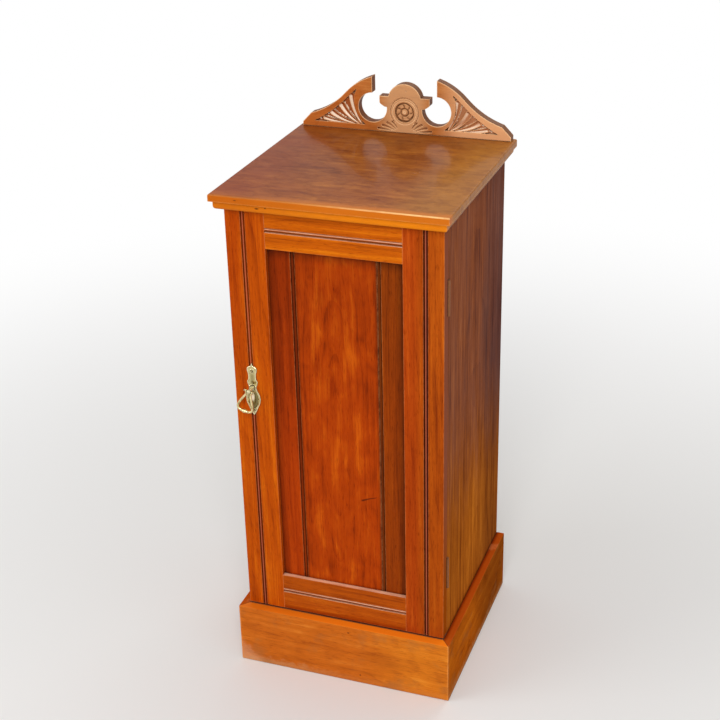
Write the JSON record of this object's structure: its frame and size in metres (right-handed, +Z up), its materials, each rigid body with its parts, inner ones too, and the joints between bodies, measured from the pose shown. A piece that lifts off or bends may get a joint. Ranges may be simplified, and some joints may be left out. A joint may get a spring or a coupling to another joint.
{
  "type": "bedside pot cupboard",
  "caption": "Narrow bedside pot cupboard on a plinth, with a panelled door, a brass drop handle, a moulded top and a pierced, carved pediment.",
  "frame": {"origin": "centre of the whole object's footprint, on the floor", "axes": "+Z up, +X to the right seen from the front, +Y towards the back; the door's face looks along -Y"},
  "size_m": [0.325, 0.336, 0.8215],
  "materials": {
    "walnut_top": "polished walnut, glossy and a little worn",
    "walnut_carved": "polished walnut, carved, paler than the carcass",
    "walnut_side": "polished walnut, plain grain",
    "walnut_frame": "polished walnut, straight grain",
    "walnut_panel": "polished walnut, figured boards",
    "walnut_plinth": "polished walnut, worn edges",
    "pine_inside": "pine, unpolished and toned with age",
    "pine": "pine, unpolished and dusty",
    "steel": "dull iron",
    "brass": "stamped and cast brass with dark patina in its hollows",
    "dull_brass": "dull, darkened brass"
  },
  "bodies": {
    "cabinet": {"top_board": "walnut_top", "pediment": "walnut_carved", "pediment_screws": "steel", "side_left": "walnut_side", "side_right": "walnut_side", "bottom_board": "pine_inside", "shelf": "pine_inside", "shelf_bearer_left": "pine_inside", "shelf_bearer_right": "pine_inside", "bearer_screws": "steel", "top_rail_front": "pine", "top_rail_back": "pine", "top_screws": "steel", "back_board_left": "pine", "back_board_middle": "pine", "back_board_right": "pine", "back_nails": "steel", "plinth_front": "walnut_plinth", "plinth_left": "walnut_plinth", "plinth_right": "walnut_plinth", "plinth_packing": "pine", "plinth_back": "pine", "plinth_blocks": "pine", "upper_hinge_case_leaf": "dull_brass", "lower_hinge_case_leaf": "dull_brass", "upper_hinge_pin": "dull_brass", "lower_hinge_pin": "dull_brass", "hinge_screws_case": "dull_brass", "catch_spring": "dull_brass", "catch_screws": "dull_brass"},
    "door": {"door_stile_left": "walnut_frame", "door_stile_right": "walnut_frame", "door_rail_top": "walnut_frame", "door_rail_bottom": "walnut_frame", "door_panel_left": "walnut_panel", "door_panel_middle": "walnut_panel", "door_panel_right": "walnut_panel", "upper_hinge_door_leaf": "dull_brass", "lower_hinge_door_leaf": "dull_brass", "hinge_screws_door": "dull_brass", "handle_backplate": "brass", "handle_post": "brass", "handle_cross_pin": "brass", "handle_washer": "brass", "handle_nut": "brass", "handle_plate_pins": "brass", "catch_peg": "dull_brass"},
    "bail": {"handle_bail": "brass"}
  },
  "joints": [
    {"name": "door_hinge", "type": "hinge", "parent": "cabinet", "child": "door", "pos_m": [0.1506, -0.13075, 0.41], "axis": [0, 0, 1], "range_deg": [0, 175]},
    {"name": "bail_swing", "type": "hinge", "parent": "door", "child": "bail", "pos_m": [-0.124, -0.161, 0.459], "axis": [-0.9613, 0, 0.2756], "range_deg": [-12, 190]}
  ]
}
